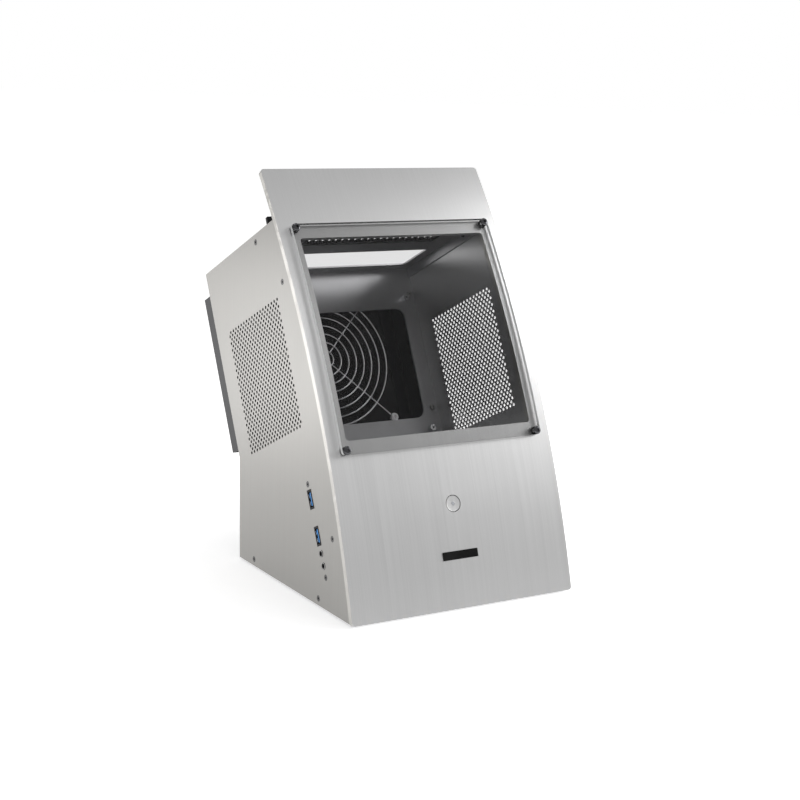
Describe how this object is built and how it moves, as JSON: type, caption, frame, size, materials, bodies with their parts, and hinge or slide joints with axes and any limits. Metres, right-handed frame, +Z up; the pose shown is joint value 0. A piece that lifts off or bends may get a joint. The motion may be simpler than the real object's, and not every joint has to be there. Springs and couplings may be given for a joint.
{
  "type": "desktop computer case",
  "caption": "Compact tilted desktop computer case: curved brushed front with a bolted window, perforated sides, rear fan hood, power button and side ports.",
  "frame": {"origin": "on the resting surface, under the middle of the whole case", "axes": "+X to the viewer's right, -Y to the front panel, +Z up"},
  "size_m": [0.222, 0.3112, 0.3566],
  "materials": {
    "front_metal": "vertical brushed, anodised",
    "side_metal": "fine brushed, anodised",
    "inner_metal": "plain sheet, grey anodised",
    "window": "tinted clear plate with polished edges",
    "chrome": "polished",
    "steel": "zinc plated",
    "black_plastic": "fine texture",
    "black_gloss": "gloss",
    "blue_plastic": "moulded",
    "light_pipe": "frosted clear",
    "rubber": "matte",
    "brass": "turned",
    "copper": "enamelled winding",
    "circuit_board": "solder mask"
  },
  "bodies": {
    "case": {"front_panel": "front_metal", "window_plate": "window", "window_washers": "rubber", "window_screws": "chrome", "window_nuts": "steel", "badge_plate": "black_gloss", "button_housing": "black_plastic", "button_screws": "steel", "button_spring": "steel", "button_switch": "black_plastic", "left_side_panel": "side_metal", "right_side_panel": "side_metal", "side_screws": "steel", "front_clips": "steel", "rear_wall": "inner_metal", "board_standoffs": "steel", "rear_lower_wall": "inner_metal", "bottom_panel": "inner_metal", "feet": "rubber", "power_supply_pads": "rubber", "top_panel": "inner_metal", "slot_covers": "inner_metal", "slot_cover_screws": "steel", "top_grille": "black_plastic", "rear_hood": "inner_metal", "hood_screws": "steel", "fan_frame": "black_plastic", "fan_bearing": "brass", "fan_coils": "copper", "fan_guard": "chrome", "fan_screws": "chrome", "connector_bracket": "steel", "connector_board": "circuit_board", "usb_ports": "black_plastic", "usb_tongues": "blue_plastic", "audio_jacks": "black_plastic", "connector_screws": "steel", "drive_bracket": "steel", "drive_bracket_screws": "steel"},
    "button": {"power_button": "front_metal", "power_light": "light_pipe"},
    "rotor": {"fan_rotor": "black_plastic", "fan_shaft": "steel"}
  },
  "joints": [
    {"name": "power_button_press", "type": "slide", "parent": "case", "child": "button", "axis": [0, 0.938, -0.3465], "range_m": [0, 0.0012], "stiffness_N_per_m": 500, "springref_m": -0.001},
    {"name": "fan_spin", "type": "hinge", "parent": "case", "child": "rotor", "pos_m": [0, 0.11033, 0.16467], "axis": [0, -0.8988, 0.4384], "continuous": true}
  ]
}
